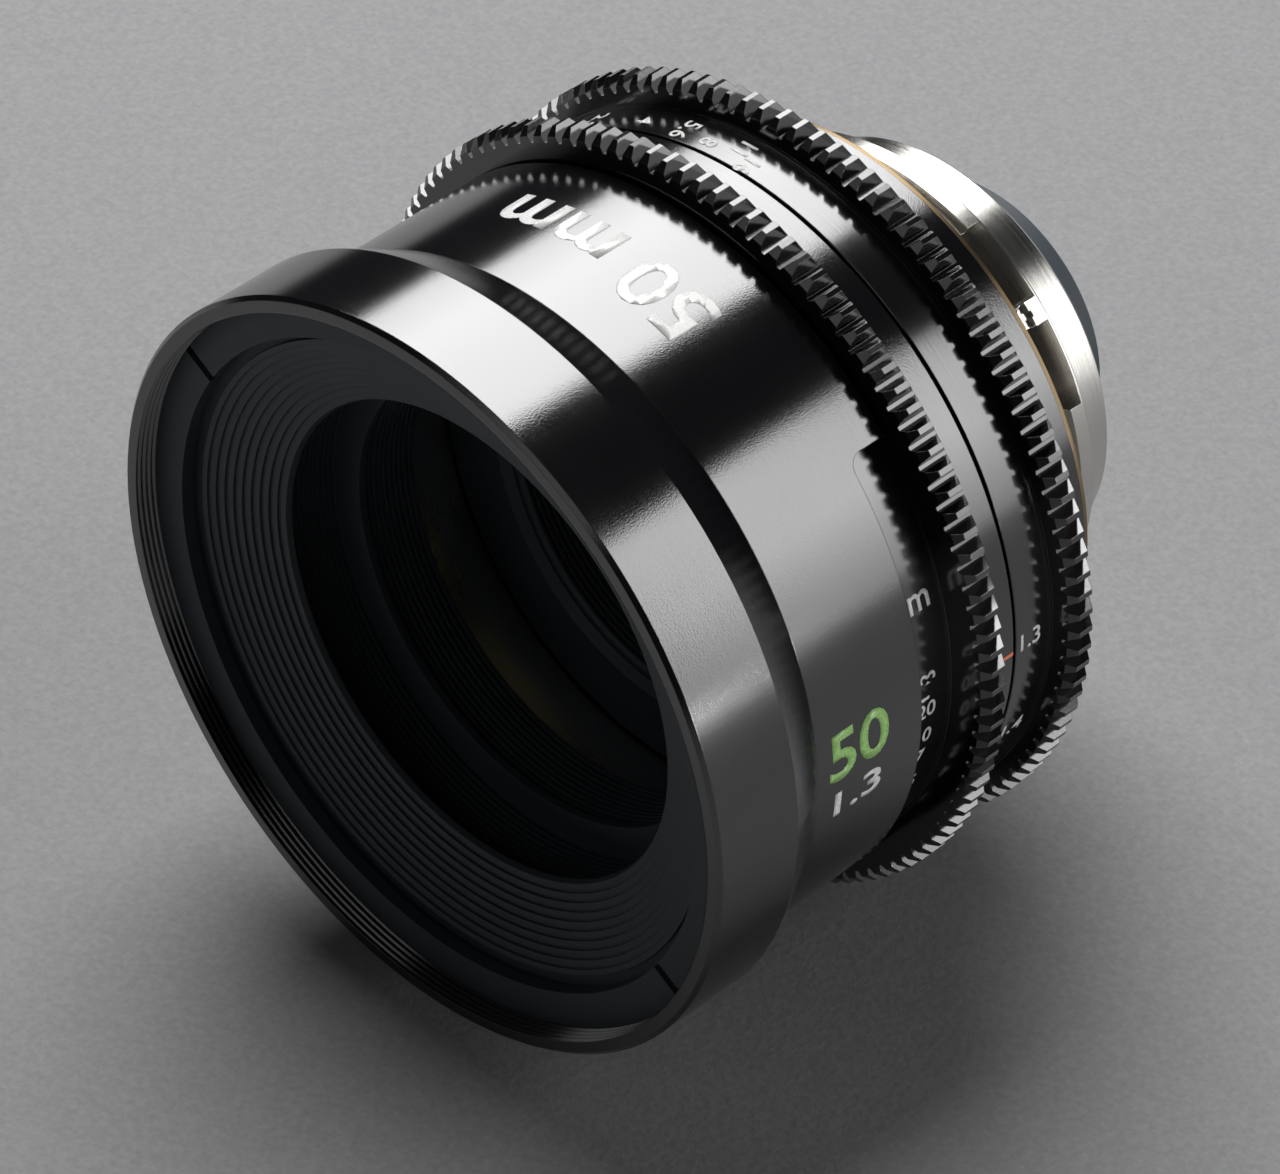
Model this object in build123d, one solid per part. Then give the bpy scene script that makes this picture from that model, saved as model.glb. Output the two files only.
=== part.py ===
"""Cinema prime lens, built as separate pieces around one optical axis.

Millimetres. The optical axis is Y: the front of the lens looks along -Y and its mount is at +Y.
The top of the lens is +Z. The origin is the centre of the mount's flange face.
Angles round the axis are in degrees from the top (+Z) towards the left side of the lens (+X).
"""
import os
from math import atan2, cos, degrees, hypot, pi, radians, sin, sqrt, tan

from build123d import *

# Fits and gaps
running_gap = 0.05
slide_gap = 0.05
screw_gap = 0.05
glass_gap = 0.04
sliver = 0.02
turning_face_gap = 0.3

# Mount: the flange face is at Y = 0
barrel_r = 27.0
barrel_length = 7.0
barrel_wall = 2.4
barrel_chamfer = 0.6
flange_ledge = 4.0
flange_length = 9.1
flange_base_length = 1.7
flange_end_gap = 0.55
flange_bevel = 0.35
tab_thickness = 2.4
tab_groove_length = 3.0
tab_groove_depth = 0.8
pocket_count = 4
pocket_first_angle = 45.5
pocket_span = 45.0
pocket_depth = 2.7
pocket_lip = 0.6
stop_width = 3.0
stop_length = 3.6
stop_slot_width = 0.8
mount_screw_count = 4
mount_screw_edge = 1.05
mount_screw_r = 0.7
mount_screw_head_r = 1.0
mount_screw_head_depth = 0.9
mount_screw_reach = 4.0
mount_screw_slot_width = 0.4

# Shims between the body and the mount
shim_count = 2
shim_thickness = 0.325
shim_inset = 0.15

# Rear body, a collar and a tube behind the iris ring
rear_body_length = 7.45
rear_collar_step = 1.4
rear_collar_length = 0.8
rear_slope_length = 1.8
rear_tube_wall = 2.0

# Iris ring
iris_band_step = 0.35
iris_band_length = 5.7
iris_step_from_gear = 0.45
iris_step_depth = 0.3
iris_gear_stand = 2.75
iris_throw = 91.0
ring_gap = 0.4

# Index band between the two rings
index_band_length = 4.3

# Focus ring
gear_width = 4.5
gear_front_bevel = 0.9
gear_front_bevel_height = 1.0
gear_rear_bevel = 1.5
gear_module = 0.8
gear_pressure_angle = 20.0
focus_gear_stand = 4.9
focus_ring_wall = 2.7
focus_turn_near = 174.0
focus_turn_far = 5.0
focus_travel = 6.12

# Name sleeve with a window on each side
sleeve_clearance = 0.5
sleeve_wall = 1.2
sleeve_length = 22.4
sleeve_gap = 0.4
window_length = 5.85
window_half_span = 43.2
window_corner_r = 2.0
pointer_length = 3.0
pointer_half_width = 1.5
pointer_depth = 0.35

# Front ring
front_flare = 3.1
front_rim_length = 12.1
front_cone_length = 6.3
front_rim_bevel = 0.5
front_rim_wall = 1.5
filter_thread_depth = 0.45
filter_thread_pitch = 0.75
filter_thread_turns = 4
baffle_rim_thickness = 1.6
front_shoulder_width = 2.6
front_collar_width = 4.2
front_collar_thickness = 1.5
front_screw_count = 6

# Front retaining ring
retainer_thickness = 1.7
retainer_width = 4.5
retainer_slot_width = 1.2
retainer_slot_depth = 1.0
retainer_slot_angle = 121.8

# Ribbed baffle
baffle_rim_recess = 0.3
baffle_rib_count = 10
baffle_groove_width = 1.2
baffle_opening_r = 30.2
baffle_depth = 4.6
baffle_wall = 1.0

# Light trap tube behind the baffle
trap_clearance = 0.6
trap_wall = 1.8
trap_gap_behind_baffle = 0.5
trap_front_length = 8.3
trap_lip_r = 28.5
trap_lip_length = 1.0
trap_rear_wall = 1.2
trap_rear_length = 8.8
trap_rib = 0.35
trap_rib_pitch = 0.8
trap_flange_thickness = 2.0

# Main barrel
main_barrel_wall = 2.5
main_flange_length = 5.0
key_count = 3
key_first_angle = 30.0

# Focus cam ring and its rollers
cam_ring_wall = 2.45
roller_r = 1.3
roller_start_from_gear_front = 0.8
roller_socket_depth = 2.0
cam_end_wall = 2.5

# Focus thrust parts
thrust_ring_length = 2.6
thrust_ring_wall = 3.1
thrust_notch_count = 4
washer_thickness = 0.25

# Screws
set_screw_r = 0.8
set_screw_length = 2.0
body_screw_count = 6
body_screw_first_angle = 15.0
body_screw_r = 0.7
body_screw_head_r = 1.1
body_screw_head_length = 1.0
body_screw_length = 6.0
body_screw_reach = 4.0
body_screw_room = 0.1
small_screw_r = 0.6

# Optical block that slides inside the main barrel
carrier_wall = 3.95
carrier_tail_wall = 1.95
carrier_tail_lead = 0.6
carrier_room = 0.35
block_front_lead = 1.4
cell_flange_thickness = 2.0
cell_wall = 2.06
spacer_wall = 0.9

# Iris
blade_count = 8
blade_thickness = 0.15
blade_pitch = 0.25
blade_inner_r = 16.6
blade_width = 4.6
blade_span = 110.0
blade_close_angle = 43.0
blade_pivot_r = 23.2
blade_pin_reach = 6.5
blade_pin_angle = 75.0
blade_pin_r = 0.45
blade_lug_r = 1.2
cam_plate_thickness = 1.2
iris_plate_thickness = 1.2
iris_lip = 0.2
iris_room = 0.2
iris_cup_room = 1.7
fork_clearance = 1.0
fork_thickness = 2.0
fork_half_width = 3.2
cam_plate_clearance = 0.4
drive_pin_r = 1.1
drive_pin_angle = 180.0
drive_pin_from_ring_front = 1.9

# Rear cell
rear_cell_wall = 3.96
rear_cell_end_wall = 1.16
rear_cell_flange = 1.7
rear_cell_lip = 1.0
rear_cell_taper = 2.0
rear_retainer_length = 1.64
rear_baffle_thickness = 1.4
rear_baffle_gap = 0.4

# Lens elements: rim radius, front and rear curve radii (positive bulges to the front), width of a
# flat step inside the rim at the front and rear, thickness on the axis, air gap in front
elements = {
    "lens_element_1": dict(r=25.5, front=50.0, rear=200.0, steps=(0, 0), thick=6.4, gap=0.0),
    "lens_element_2": dict(r=21.0, front=34.0, rear=90.0, steps=(0, 0), thick=6.0, gap=0.4),
    "lens_element_3": dict(r=18.5, front=70.0, rear=22.0, steps=(0, 3.0), thick=1.8, gap=1.2),
    "lens_element_4": dict(r=17.0, front=-22.0, rear=80.0, steps=(2.0, 0), thick=1.6, gap=0.0),
    "lens_element_5": dict(r=17.0, front=80.0, rear=-32.0, steps=(0, 0), thick=7.5, gap=0.0),
    "lens_element_6": dict(r=17.0, front=-90.0, rear=-38.0, steps=(0, 0), thick=4.5, gap=0.6),
    "lens_element_7": dict(r=17.0, front=75.0, rear=-400.0, steps=(0, 0), thick=3.4, gap=0.4),
}
first_element = elements["lens_element_1"]
third_element = elements["lens_element_3"]
fourth_element = elements["lens_element_4"]
first_vertex_from_mount = 38.4

# Stations along the axis, worked out from the flange face towards the front
flange_front_y = -flange_length
shim_front_y = flange_front_y - shim_count * shim_thickness
rear_body_front_y = shim_front_y - rear_body_length
body_ledge_y = rear_body_front_y + body_screw_length - body_screw_reach
iris_ring_rear_y = rear_body_front_y - turning_face_gap
iris_gear_front_y = iris_ring_rear_y - gear_width
iris_ring_front_y = iris_gear_front_y - iris_band_length
index_rear_y = iris_ring_front_y - ring_gap
index_front_y = index_rear_y - index_band_length
focus_ring_rear_y = index_front_y - turning_face_gap
focus_gear_front_y = focus_ring_rear_y - gear_width
sleeve_rear_y = focus_gear_front_y - sleeve_gap
sleeve_front_y = sleeve_rear_y - sleeve_length
front_rim_rear_y = sleeve_front_y - front_cone_length
front_face_y = front_rim_rear_y - front_rim_length


def polar(x, y):
    return hypot(x, y), degrees(atan2(y, x))


def drive_place(share):
    """Radius and angle of a blade's drive pin, from its pivot, when the iris is part closed."""
    direction = radians(blade_pin_angle + blade_close_angle * share)
    r, angle = polar(blade_pivot_r + blade_pin_reach * cos(direction), blade_pin_reach * sin(direction))
    return r, -angle


# Radii, worked out from the glass outwards
front_cell_waist_r = first_element["r"] + glass_gap + cell_wall
iris_cup_r = drive_place(0)[0] + blade_lug_r + iris_cup_room
fork_inner_r = max(front_cell_waist_r + fork_clearance, iris_cup_r)
cam_plate_r = fork_inner_r + fork_thickness
carrier_bore_r = cam_plate_r + cam_plate_clearance
carrier_r = carrier_bore_r + carrier_wall
main_barrel_bore_r = carrier_r + slide_gap
main_barrel_r = main_barrel_bore_r + main_barrel_wall
cam_ring_bore_r = main_barrel_r + running_gap
focus_bore_r = cam_ring_bore_r + cam_ring_wall
focus_band_r = focus_bore_r + focus_ring_wall
sleeve_bore_r = focus_band_r + sleeve_clearance
sleeve_r = sleeve_bore_r + sleeve_wall
front_r = sleeve_r + front_flare
iris_band_r = sleeve_r - iris_band_step
filter_thread_r = front_r - front_rim_wall
front_seat_r = filter_thread_r - filter_thread_depth + screw_gap
front_shoulder_r = front_seat_r - front_shoulder_width
front_collar_r = sleeve_bore_r - front_collar_width
front_screw_circle_r = (front_collar_r + sleeve_bore_r) / 2
retainer_inner_r = front_seat_r - retainer_width
baffle_rim_inner_r = retainer_inner_r + baffle_rim_recess
baffle_outer_rib_r = retainer_inner_r - baffle_groove_width
trap_outer_r = main_barrel_bore_r - trap_clearance
trap_front_r = trap_outer_r - trap_wall
trap_rear_r = trap_lip_r + trap_rib + screw_gap
thrust_ring_r = main_barrel_r + thrust_ring_wall
blade_outer_r = blade_inner_r + blade_width
iris_bore_r = blade_inner_r - iris_lip
barrel_bore_r = barrel_r - barrel_wall
flange_r = barrel_r + flange_ledge
tab_groove_r = flange_r - tab_groove_depth
pocket_floor_r = flange_r - pocket_depth
carrier_tail_r = carrier_bore_r + carrier_tail_wall
rear_bore_r = carrier_tail_r + carrier_room
mount_screw_circle_r = rear_bore_r + mount_screw_edge
flange_base_r = mount_screw_circle_r + mount_screw_edge
body_screw_circle_r = (main_barrel_r + main_barrel_bore_r) / 2
rear_tube_r = body_screw_circle_r + rear_tube_wall
rear_collar_r = sleeve_r - rear_collar_step
shim_outer_r = rear_tube_r - shim_inset
rear_cell_r = fourth_element["r"] + glass_gap + rear_cell_wall
rear_cell_end_r = fourth_element["r"] + glass_gap + rear_cell_end_wall

# Gears have as many teeth as their band's size allows
focus_gear_teeth = round(2 * (focus_band_r + focus_gear_stand) / gear_module)
iris_gear_teeth = round(2 * (iris_band_r + iris_gear_stand) / gear_module)
focus_lead = 360 * focus_travel / focus_turn_near


def turned(points):
    """A solid turned about the optical axis from a closed outline of (radius, y) points."""
    outline = Polyline(*[(r, y, 0) for r, y in points], close=True)
    return revolve(make_face(outline), Axis.Y)


def ring(inner_r, outer_r, y0, y1):
    return turned([(inner_r, y0), (outer_r, y0), (outer_r, y1), (inner_r, y1)])


def disc(r, y0, y1):
    return turned([(0, y0), (r, y0), (r, y1), (0, y1)])


def cross_plane(y):
    """The plane across the axis at y, whose own angles run the same way as the lens's angles."""
    return Plane(origin=(0, y, 0), x_dir=(1, 0, 0), z_dir=(0, 1, 0))


def at_angle(r, angle):
    """A point on a cross plane at radius r and an angle from the top of the lens."""
    return (r * sin(radians(angle)), -r * cos(radians(angle)))


def turned_about(shape, angle):
    return Rot(0, angle, 0) * shape


def repeated(shape, angles):
    """Copies of a shape at each angle about the axis, as a list."""
    return [turned_about(shape, angle) for angle in angles]


def cut_all(solid, tools):
    for tool in tools:
        solid = solid - tool
    return solid


def even_angles(count, first=0.0):
    return [first + 360.0 / count * i for i in range(count)]


def radial_pin(angle, y, inner_r, outer_r, r):
    """A round pin along a radius, from inner_r to outer_r."""
    pin = Pos(0, y, inner_r) * Cylinder(r, outer_r - inner_r, align=(Align.CENTER, Align.CENTER, Align.MIN))
    return turned_about(pin, angle)


def axial_pin(angle, circle_r, y0, y1, r):
    """A round pin along the axis at a radius and angle."""
    spot = Location((circle_r * sin(radians(angle)), 0, circle_r * cos(radians(angle))))
    return spot * disc(r, y0, y1)


def sector(half_span, mid_angle, inner_r, outer_r, y0, y1):
    """A block of a ring between two angles."""
    reach = outer_r + 1
    side = 2 * reach
    corners = [mid_angle + half_span * k / 4 for k in range(-4, 5)]
    wedge = cross_plane(y0) * Polygon(
        (0, 0),
        *[at_angle(side, corner) for corner in corners],
        align=None,
    )
    return extrude(wedge, y1 - y0) & ring(inner_r, outer_r, y0, y1)


def rounded_window(half_span, mid_angle, y0, y1, inner_r, outer_r, corner_r):
    """A window tool through a tube wall, open at y1, with round corners at y0."""
    corner_angle = degrees(corner_r / outer_r)
    tool = sector(half_span, mid_angle, inner_r, outer_r, y0 + corner_r, y1)
    tool = tool + sector(half_span - corner_angle, mid_angle, inner_r, outer_r, y0, y1)
    for side in (-1, 1):
        corner = mid_angle + side * (half_span - corner_angle)
        tool = tool + radial_pin(corner, y0 + corner_r, inner_r, outer_r, corner_r)
    return tool


def closed_slot(half_span, mid_angle, y, half_width, inner_r, outer_r):
    """A slot tool through a tube wall along its circumference, with round ends."""
    tool = sector(half_span, mid_angle, inner_r, outer_r, y - half_width, y + half_width)
    for side in (-1, 1):
        tool = tool + radial_pin(mid_angle + side * half_span, y, inner_r, outer_r, half_width)
    return tool


def gear_radii(teeth):
    """Tip, pitch and root radius of a standard spur gear."""
    pitch_r = gear_module * teeth / 2
    return pitch_r + gear_module, pitch_r, pitch_r - 1.25 * gear_module


def tooth_outline(teeth):
    """Corner points of all the gear's teeth, on a cross plane."""
    tip_r, pitch_r, root_r = gear_radii(teeth)
    slope = tan(radians(gear_pressure_angle))
    half_pitch_width = pi * gear_module / 4
    half_tip = half_pitch_width - gear_module * slope
    half_root = half_pitch_width + 1.25 * gear_module * slope
    corners = []
    for i in range(teeth):
        middle = 360.0 / teeth * i
        for r, half_width in ((root_r, -half_root), (tip_r, -half_tip), (tip_r, half_tip), (root_r, half_root)):
            corners.append(at_angle(r, middle + degrees(half_width / r)))
    return corners


def gear_band(teeth, front_y, bore_r):
    """A toothed band with both ends of its teeth bevelled."""
    tip_r, _, root_r = gear_radii(teeth)
    rear_y = front_y + gear_width
    blank = extrude(cross_plane(front_y) * Polygon(*tooth_outline(teeth), align=None), gear_width)
    envelope = turned([
        (bore_r, front_y), (tip_r - gear_front_bevel_height, front_y), (tip_r, front_y + gear_front_bevel),
        (tip_r, rear_y - gear_rear_bevel), (root_r - 0.4, rear_y), (bore_r, rear_y),
    ])
    return blank & envelope


def thread_points(r, depth, pitch, turns, start_y, toward=1):
    """Points of a run of sharp grooves cut outwards from radius r, beginning at start_y."""
    points = []
    for i in range(turns):
        y = start_y + toward * pitch * i
        points += [(r, y), (r + depth, y + toward * pitch * 0.5)]
    points.append((r, start_y + toward * pitch * turns))
    return points


def rib_points(r, depth, pitch, start_y, end_y):
    """Points of square ribs on a bore, from start_y to end_y, ending on a rib."""
    count = int((end_y - start_y) / pitch)
    points = []
    for i in range(count):
        y = start_y + pitch * i
        points += [(r, y), (r, y + pitch / 2), (r + depth, y + pitch / 2), (r + depth, y + pitch)]
    points += [(r, start_y + pitch * count), (r, end_y)]
    return points


# Front ring and what it holds
retainer_front_y = front_face_y + filter_thread_pitch * filter_thread_turns
retainer_rear_y = retainer_front_y + retainer_thickness
front_seat_y = retainer_rear_y + baffle_rim_thickness
baffle_start_y = retainer_rear_y + 0.3
baffle_rear_y = baffle_start_y + baffle_depth + 0.4 * baffle_wall
trap_front_y = baffle_rear_y + trap_gap_behind_baffle
trap_lip_y = trap_front_y + trap_front_length
trap_rear_y = trap_lip_y + trap_rear_length
trap_flange_front_y = sleeve_front_y - trap_flange_thickness
front_collar_y = trap_flange_front_y - front_collar_thickness
main_barrel_front_y = sleeve_front_y
main_flange_rear_y = main_barrel_front_y + main_flange_length
front_screw_angles = even_angles(front_screw_count, 0.0)


def front_ring():
    thread = thread_points(filter_thread_r - filter_thread_depth, filter_thread_depth,
                           filter_thread_pitch, filter_thread_turns, front_face_y)
    body = turned([
        *thread,
        (front_seat_r, retainer_front_y), (front_seat_r, front_seat_y),
        (front_shoulder_r, front_seat_y), (front_shoulder_r, front_collar_y),
        (front_collar_r, front_collar_y), (front_collar_r, trap_flange_front_y),
        (sleeve_bore_r, trap_flange_front_y), (sleeve_bore_r, sleeve_front_y),
        (sleeve_r, sleeve_front_y), (front_r, front_rim_rear_y),
        (front_r, front_face_y + front_rim_bevel), (front_r - front_rim_bevel, front_face_y),
    ])
    return cut_all(body, front_screw_holes(front_collar_y - 1, trap_flange_front_y + 1))


def front_screw_holes(y0, y1):
    return [axial_pin(angle, front_screw_circle_r, y0, y1, body_screw_r) for angle in front_screw_angles]


def front_ring_screws():
    """Screws from inside the front ring, through the tube's flange into the main barrel."""
    screws = []
    for angle in front_screw_angles:
        shank = axial_pin(angle, front_screw_circle_r, front_collar_y,
                          main_barrel_front_y + body_screw_reach - 0.3, body_screw_r - 0.03)
        head = axial_pin(angle, front_screw_circle_r, front_collar_y - body_screw_head_length,
                         front_collar_y, body_screw_head_r)
        screws.append(shank + head)
    return screws


def front_retaining_ring():
    body = ring(retainer_inner_r, front_seat_r - screw_gap, retainer_front_y, retainer_rear_y)
    slot = Pos(0, retainer_front_y, (retainer_inner_r + front_seat_r) / 2) * Box(
        retainer_slot_width, 2 * retainer_slot_depth, front_seat_r - retainer_inner_r + 2)
    return cut_all(body, repeated(slot, (retainer_slot_angle, retainer_slot_angle + 180)))


def ribbed_baffle():
    """A shallow stepped cone that narrows the view to the baffle's opening."""
    step_r = (baffle_outer_rib_r - baffle_opening_r) / baffle_rib_count
    step_y = baffle_depth / baffle_rib_count
    start_y = baffle_start_y
    steps = []
    for i in range(baffle_rib_count):
        r = baffle_outer_rib_r - step_r * i
        y = start_y + step_y * i
        steps += [(r, y), (r - step_r * 0.7, y + step_y * 0.25)]
        if i < baffle_rib_count - 1:
            steps.append((r - step_r * 0.7, y + step_y))
    rim_r = front_seat_r - screw_gap
    return turned([
        (rim_r, retainer_rear_y), (baffle_rim_inner_r, retainer_rear_y),
        (baffle_rim_inner_r, start_y + 0.5), (baffle_outer_rib_r, start_y + 0.5), *steps,
        (baffle_opening_r, baffle_rear_y), (baffle_opening_r + 1.2 * baffle_wall, baffle_rear_y),
        (front_shoulder_r - 0.1, front_seat_y), (rim_r, front_seat_y),
    ])


def light_trap_tube():
    """A ribbed tube behind the baffle, with a lip part way down and a flange at its middle."""
    front_ribs = rib_points(trap_front_r, trap_rib, trap_rib_pitch, trap_front_y, trap_lip_y)
    lip_rear_y = trap_lip_y + trap_lip_length
    rear_outer_r = trap_rear_r + trap_rib + trap_rear_wall
    rear_ribs = rib_points(trap_rear_r, trap_rib, trap_rib_pitch, lip_rear_y, trap_rear_y)
    body = turned([
        *front_ribs, (trap_lip_r, trap_lip_y), (trap_lip_r, lip_rear_y), *rear_ribs,
        (rear_outer_r, trap_rear_y), (rear_outer_r, lip_rear_y + trap_lip_length),
        (trap_outer_r, lip_rear_y + trap_lip_length / 2), (trap_outer_r, main_barrel_front_y),
        (sleeve_bore_r - screw_gap, main_barrel_front_y), (sleeve_bore_r - screw_gap, trap_flange_front_y),
        (trap_outer_r, trap_flange_front_y), (trap_outer_r, trap_front_y),
    ])
    return cut_all(body, front_screw_holes(trap_flange_front_y - 1, main_barrel_front_y + 1))


def name_sleeve():
    """The outer sleeve, with a scale window on the left and on the right."""
    body = turned([
        (sleeve_bore_r, sleeve_front_y), (sleeve_r, sleeve_front_y),
        (sleeve_r, sleeve_rear_y - 0.15), (sleeve_r - 0.15, sleeve_rear_y), (sleeve_bore_r, sleeve_rear_y),
    ])
    window_y = sleeve_rear_y - window_length
    for side in (90.0, 270.0):
        body = body - rounded_window(window_half_span, side, window_y, sleeve_rear_y + 1,
                                     sleeve_bore_r - 1, sleeve_r + 1, window_corner_r)
        pointer = Plane(origin=(0, 0, sleeve_r - pointer_depth)) * Polygon(
            (0, window_y - pointer_length), (-pointer_half_width, window_y + 0.5),
            (pointer_half_width, window_y + 0.5), align=None)
        body = body - turned_about(extrude(pointer, 2.0), side)
    return cut_all(body, [radial_pin(a, set_screw_y, sleeve_bore_r - 1, sleeve_r + 1, set_screw_r)
                          for a in sleeve_screw_angles])


sleeve_screw_angles = (150.0, 210.0, 270.0)
set_screw_y = main_barrel_front_y + main_flange_length / 2


def set_screws(angles, y, outer_r):
    """Headless screws along a radius, each with a slot across its outer end."""
    screws = []
    for angle in angles:
        screw = radial_pin(angle, y, outer_r - set_screw_length, outer_r, set_screw_r - screw_gap)
        slot = turned_about(Pos(0, y, outer_r) * Box(2 * set_screw_r, 0.3, 0.8), angle)
        screws.append(screw - slot)
    return screws


# Main barrel, focus cam and rollers
roller_y = focus_gear_front_y + roller_start_from_gear_front
cam_ring_front_y = roller_y - focus_travel - roller_r - cam_end_wall
cam_ring_rear_y = focus_ring_rear_y
key_angles = even_angles(key_count, key_first_angle)
drive_pin_y = iris_ring_front_y + drive_pin_from_ring_front
thrust_rear_y = cam_ring_front_y - running_gap
focus_sweep = focus_turn_near + focus_turn_far


def main_barrel():
    """The fixed tube that everything is built on."""
    body = turned([
        (main_barrel_bore_r, main_barrel_front_y), (sleeve_bore_r, main_barrel_front_y),
        (sleeve_bore_r, main_flange_rear_y), (main_barrel_r, main_flange_rear_y),
        (main_barrel_r, rear_body_front_y), (main_barrel_bore_r, rear_body_front_y),
    ])
    far_y = roller_y + focus_lead * focus_turn_far / 360
    near_y = roller_y - focus_travel
    half_width = roller_r + slide_gap
    for angle in key_angles:
        inner, outer = main_barrel_bore_r - 1, main_barrel_r + 1
        middle = Pos(0, (far_y + near_y) / 2, (inner + outer) / 2) * Box(
            2 * half_width, far_y - near_y, outer - inner)
        body = body - turned_about(middle, angle)
        for y in (far_y, near_y):
            body = body - radial_pin(angle, y, inner, outer, half_width)
    body = body - closed_slot(iris_throw / 2 + 1, drive_pin_angle - iris_throw / 2, drive_pin_y,
                              drive_pin_r + slide_gap * 3, main_barrel_bore_r - 1, main_barrel_r + 1)
    body = cut_all(body, [axial_pin(a, body_screw_circle_r, rear_body_front_y - body_screw_reach,
                                    rear_body_front_y + 1, body_screw_r) for a in body_screw_angles])
    body = cut_all(body, front_screw_holes(main_barrel_front_y - 1, main_barrel_front_y + body_screw_reach))
    body = cut_all(body, [radial_pin(a, set_screw_y, sleeve_bore_r - set_screw_length, sleeve_bore_r + 1,
                                     set_screw_r) for a in sleeve_screw_angles])
    return cut_all(body, [radial_pin(a, index_screw_y, main_barrel_r - 0.6, main_barrel_r + 1,
                                     set_screw_r) for a in index_screw_angles])


def helical_slot(start_angle):
    """The slot tool for one roller, a strip that winds round the cam ring."""
    half_width = roller_r + slide_gap
    mid_r = (cam_ring_bore_r + focus_bore_r) / 2
    depth = focus_bore_r - cam_ring_bore_r + 2
    path = Helix(focus_lead, focus_lead * focus_sweep / 360, mid_r, lefthand=True)
    section = Plane(origin=path @ 0, x_dir=(1, 0, 0), z_dir=path % 0) * Rectangle(depth, 2 * half_width)
    strip = sweep(section, path=path, is_frenet=True)
    placed = cross_plane(roller_y - focus_travel).location * strip
    tool = turned_about(placed, start_angle + focus_turn_near - 90)
    for turn, y in ((focus_turn_near, roller_y - focus_travel),
                    (-focus_turn_far, roller_y + focus_lead * focus_turn_far / 360)):
        tool = tool + radial_pin(start_angle + turn, y, mid_r - depth / 2, mid_r + depth / 2, half_width)
    return tool


def focus_cam_ring():
    blank = ring(cam_ring_bore_r, focus_bore_r, cam_ring_front_y, cam_ring_rear_y)
    slot = blank & helical_slot(key_first_angle)
    body = cut_all(blank, repeated(slot, even_angles(key_count)))
    return cut_all(body, [radial_pin(a, cam_screw_y, focus_bore_r - 1.2, focus_bore_r + 1, set_screw_r)
                          for a in cam_screw_angles])


cam_screw_y = cam_ring_front_y + cam_end_wall / 2
cam_screw_angles = even_angles(key_count, 0.0)


def focus_rollers():
    """Rollers that run in the straight and the winding slots, each on the carrier's wall."""
    rollers = []
    for angle in key_angles:
        roller = radial_pin(angle, roller_y, carrier_r - roller_socket_depth, focus_bore_r - 0.3, roller_r)
        rollers.append(roller - radial_pin(angle, roller_y, focus_bore_r - 1.0, focus_bore_r, 0.6))
    return rollers


def focus_ring():
    """The scale band under the sleeve and the toothed band behind it."""
    band = turned([
        (focus_bore_r, cam_ring_front_y), (focus_band_r, cam_ring_front_y),
        (focus_band_r, focus_gear_front_y - 0.1), (focus_band_r + 0.35, focus_gear_front_y - 0.1),
        (focus_band_r + 0.35, focus_gear_front_y + 0.5), (focus_bore_r, focus_gear_front_y + 0.5),
    ])
    body = band + gear_band(focus_gear_teeth, focus_gear_front_y, focus_bore_r)
    return cut_all(body, [radial_pin(a, cam_screw_y, focus_bore_r - 1, focus_band_r + 1, set_screw_r)
                          for a in cam_screw_angles])


def focus_thrust_ring():
    """The threaded ring on the main barrel that sets the focus ring's end play."""
    front_y = thrust_rear_y - thrust_ring_length
    body = ring(main_barrel_r + 0.02, thrust_ring_r, front_y, thrust_rear_y)
    notch = Pos(0, front_y, thrust_ring_r) * Box(1.6, 1.6, 3.0)
    return cut_all(body, repeated(notch, even_angles(thrust_notch_count)))


def thrust_washer(front_y):
    return ring(main_barrel_r + 0.1, focus_bore_r, front_y, front_y + washer_thickness)


index_screw_angles = (140.0, 220.0, 300.0)
index_screw_y = (index_front_y + index_rear_y) / 2


def index_band():
    body = turned([
        (main_barrel_r, index_front_y), (iris_band_r - 0.1, index_front_y),
        (iris_band_r, index_front_y + 0.1), (iris_band_r, index_rear_y - 0.1),
        (iris_band_r - 0.1, index_rear_y), (main_barrel_r, index_rear_y),
    ])
    for angle in index_screw_angles:
        body = body - radial_pin(angle, index_screw_y, main_barrel_r - 1, iris_band_r + 1, set_screw_r)
    return body


def index_screws():
    """Long headless screws from the index band into the main barrel."""
    screws = []
    for angle in index_screw_angles:
        outer_r = iris_band_r - 0.3
        screw = radial_pin(angle, index_screw_y, main_barrel_r - 0.5, outer_r, set_screw_r - screw_gap)
        slot = turned_about(Pos(0, index_screw_y, outer_r) * Box(2 * set_screw_r, 0.3, 0.8), angle)
        screws.append(screw - slot)
    return screws


def iris_ring():
    """The aperture scale band and the toothed band behind it."""
    bore_r = main_barrel_r + running_gap
    step_y = iris_gear_front_y - iris_step_from_gear
    band = turned([
        (bore_r, iris_ring_front_y), (iris_band_r - 0.1, iris_ring_front_y),
        (iris_band_r, iris_ring_front_y + 0.1), (iris_band_r, step_y),
        (iris_band_r + iris_step_depth, step_y), (iris_band_r + iris_step_depth, iris_gear_front_y + 0.5),
        (bore_r, iris_gear_front_y + 0.5),
    ])
    body = band + gear_band(iris_gear_teeth, iris_gear_front_y, bore_r)
    return body - radial_pin(drive_pin_angle, drive_pin_y, bore_r - 1, drive_pin_top_r, drive_pin_r)


drive_pin_top_r = iris_band_r - 1.0


def iris_drive_pin():
    """The pin that carries the iris ring's turn through the barrel to the fork."""
    return radial_pin(drive_pin_angle, drive_pin_y, fork_inner_r + 0.4, drive_pin_top_r - 0.1,
                      drive_pin_r - 0.02)


# Rear body, shims and mount
body_screw_angles = even_angles(body_screw_count, body_screw_first_angle)
mount_screw_angles = even_angles(mount_screw_count, 0.0)


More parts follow.
